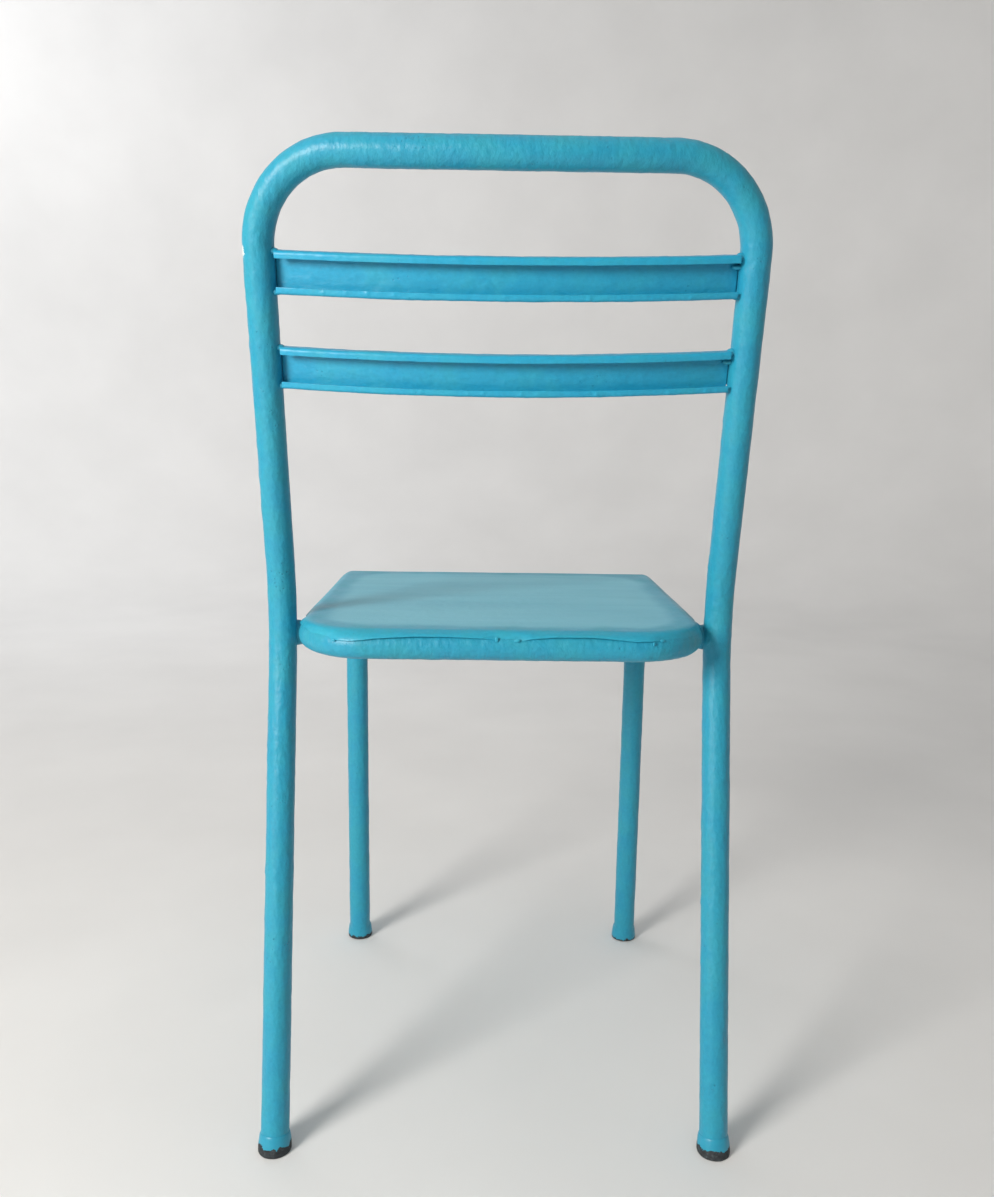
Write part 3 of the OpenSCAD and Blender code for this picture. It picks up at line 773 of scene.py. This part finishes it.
# Rubber with the paint worn ragged above the sole: dark, dry and grey-edged below, enamel above
def rubber(name, paintTo):
    material, tree = newMaterial(name)
    place = addNode(tree, "TexCoord").outputs["Object"]
    grime = addNode(tree, "TexNoise", {"Scale": 260.0, "Detail": 4.0, "Roughness": 0.6}, {"Vector": place})
    bare = addNode(tree, "ValToRGB", links={"Fac": grime.outputs["Fac"]})
    rampStops(bare, [(0.35, linear("#1B1E21")), (0.58, linear("#30363A")), (0.75, linear("#59656A"))])
    paint = addNode(tree, "ValToRGB", links={"Fac": grime.outputs["Fac"]})
    rampStops(paint, [(0.3, linear(paintLook["deep"])), (0.6, linear(paintLook["body"]))])
    ragged = addNode(tree, "TexNoise", {"Scale": 170.0, "Detail": 5.0, "Roughness": 0.6}, {"Vector": place})
    height = addNode(tree, "SeparateXYZ", links={0: place}).outputs["Z"]
    edge = addNode(tree, "Math", {"operation": "MULTIPLY_ADD", 1: 0.014},
                   {0: ragged.outputs["Fac"], 2: height})
    worn = addNode(tree, "MapRange", {"From Min": paintTo + 0.0068, "From Max": paintTo + 0.0072},
                   {"Value": edge.outputs[0]}).outputs["Result"]
    colour = addNode(tree, "Mix", {"data_type": "RGBA"},
                     {0: worn, 6: bare.outputs["Color"], 7: paint.outputs["Color"]})
    rough = addNode(tree, "MapRange", {"To Min": 0.75, "To Max": 0.38}, {"Value": worn})
    film = addNode(tree, "Math", {"operation": "MULTIPLY_ADD", 1: 0.25}, {0: grime.outputs["Fac"], 2: worn})
    bump = addNode(tree, "Bump", {"Strength": 0.6, "Distance": 0.0003}, {"Height": film.outputs[0]})
    shader = addNode(tree, "BsdfPrincipled", {"IOR": 1.5},
                     {"Base Color": colour.outputs[2], "Roughness": rough.outputs["Result"],
                      "Normal": bump.outputs[0]})
    addNode(tree, "OutputMaterial", links={"Surface": shader.outputs[0]})
    return material


def makeFoot(name, spec, place, rake):
    axis = tiltX(rake, (0, 0, 1))
    base = place - axis * spec["below"]
    bpy.ops.mesh.primitive_circle_add(vertices=spec["sides"], radius=spec["radius"], location=base,
                                      rotation=(math.radians(rake), 0, 0), fill_type="NGON")
    piece = bpy.context.object
    piece.name = piece.data.name = name
    bpy.ops.object.transform_apply(location=True, rotation=True, scale=True)
    editOn(piece)
    bpy.ops.mesh.select_mode(type="EDGE")
    bpy.ops.mesh.select_all(action="SELECT")
    reach, wide = -spec["below"], 1.0
    for along, size in spec["rings"]:
        runOut(axis * (along - reach))
        bpy.ops.transform.resize(value=(size / wide,) * 3)
        reach, wide = along, size
    bpy.ops.mesh.edge_face_add()
    bpy.ops.mesh.select_all(action="SELECT")
    bpy.ops.mesh.bisect(plane_co=(0, 0, 0.0001), plane_no=(0, 0, 1), clear_inner=True, use_fill=True)
    selectWhere(piece, "EDGE", lambda e: all(v.co.z < 0.0003 for v in e.verts) and len(e.link_faces) == 2)
    bpy.ops.mesh.bevel(offset=spec["edge"], segments=3)
    selectWhere(piece, "FACE", lambda f: len(f.verts) > 20)
    bpy.ops.mesh.inset(thickness=spec["tread"], depth=0)
    closeUp(piece)
    editOff()
    modify(piece, "SUBSURF", levels=2, render_levels=2)
    roughen(piece, [("ORIGINAL_PERLIN", 0.010, 0.0005, 1.0), ("ORIGINAL_PERLIN", 0.003, 0.0002, 1.0)])
    for vertex in piece.data.vertices:
        vertex.co.z = max(vertex.co.z, 0.00005)
    return piece


rearY = tubeAxis(1, 0).y
frontY = (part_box("foot_front_left")[0].y
          + footCap["boxRadius"] / math.cos(math.radians(seatTube["frontRake"])))
# each foot's place, its lean, and how far up the paint is worn away
for name, node, x, y, rake, paintTo in (
        ("footRearLeft", "foot_rear_left", backTube["half"], rearY, backTube["rake"], 0.0080),
        ("footRearRight", "foot_rear_right", -backTube["half"], rearY, backTube["rake"], 0.0075),
        ("footFrontLeft", "foot_front_left", seatTube["half"], frontY, -seatTube["frontRake"], 0.0040),
        ("footFrontRight", "foot_front_right", -seatTube["half"], frontY, -seatTube["frontRake"], 0.0025)):
    foot = makeFoot(name, footCap, Vector((x, y, 0)), rake)
    finishPiece(foot, rubber("PaintedRubber" + name[4:], paintTo), [node], 50)

# Camera

cameraData = bpy.data.cameras.new("camera")
camera = bpy.data.objects.new("camera", cameraData)
bpy.context.scene.collection.objects.link(camera)
camera.location = (0.0156, 1.0107, 0.6365)
camera.rotation_euler = (math.radians(80.856), math.radians(-0.805), math.radians(179.394))
cameraData.lens = 31.16
cameraData.shift_y = -0.0072
cameraData.clip_start = 0.01
bpy.context.scene.camera = camera

# Studio: pale floor swept up into a pale wall, one soft low lamp and open sky light

studio = {"radius": 3.8, "height": 2.6, "sweep": 1.2, "sky": (0.42, 0.72, 1.0, 1), "skyStrength": 0.68}


def makeStudio(spec):
    bpy.ops.mesh.primitive_circle_add(vertices=96, radius=spec["radius"], location=(0, 0, 0),
                                      fill_type="NGON")
    floor = bpy.context.object
    floor.name = "studioFloor"
    editOn(floor)
    selectWhere(floor, "EDGE", lambda e: True)
    runOut((0, 0, spec["height"]))
    selectWhere(floor, "EDGE", lambda e: all(abs(v.co.z) < 1e-4 for v in e.verts))
    bpy.ops.mesh.bevel(offset=spec["sweep"], segments=12)
    bpy.ops.mesh.select_all(action="SELECT")
    bpy.ops.mesh.normals_make_consistent(inside=True)
    editOff()
    bpy.ops.object.shade_smooth_by_angle(angle=math.radians(60))
    material, tree = newMaterial("PaleMattePlaster")
    place = addNode(tree, "TexCoord").outputs["Object"]
    cloud = addNode(tree, "TexNoise", {"Scale": 3.0, "Detail": 3.0}, {"Vector": place})
    tone = addNode(tree, "ValToRGB", links={"Fac": cloud.outputs["Fac"]})
    rampStops(tone, [(0.3, linear("#E7E7E7")), (0.7, linear("#EDEDED"))])
    shader = addNode(tree, "BsdfPrincipled", {"Roughness": 0.75}, {"Base Color": tone.outputs["Color"]})
    addNode(tree, "OutputMaterial", links={"Surface": shader.outputs[0]})
    floor.data.materials.append(material)


makeStudio(studio)


def addLamp(name, place, target, size, power, colour):
    data = bpy.data.lights.new(name, "AREA")
    data.shape, data.size, data.energy, data.color = "DISK", size, power, colour
    lamp = bpy.data.objects.new(name, data)
    lamp.location = place
    lamp.rotation_euler = (Vector(target) - Vector(place)).to_track_quat("-Z", "Y").to_euler()
    bpy.context.scene.collection.objects.link(lamp)


addLamp("windowLamp", (1.52, 1.64, 1.22), (0, 0, 0.52), 0.85, 55, (1.0, 0.965, 0.91))
addLamp("backdropLamp", (1.7, -1.7, 2.3), (1.0, -3.7, 0.9), 1.3, 26, (0.97, 0.98, 1.0))
world = bpy.data.worlds.new("softSky")
bpy.context.scene.world = world
world.use_nodes = True
world.node_tree.nodes["Background"].inputs["Color"].default_value = studio["sky"]
world.node_tree.nodes["Background"].inputs["Strength"].default_value = studio["skyStrength"]
print("camera and lights done")
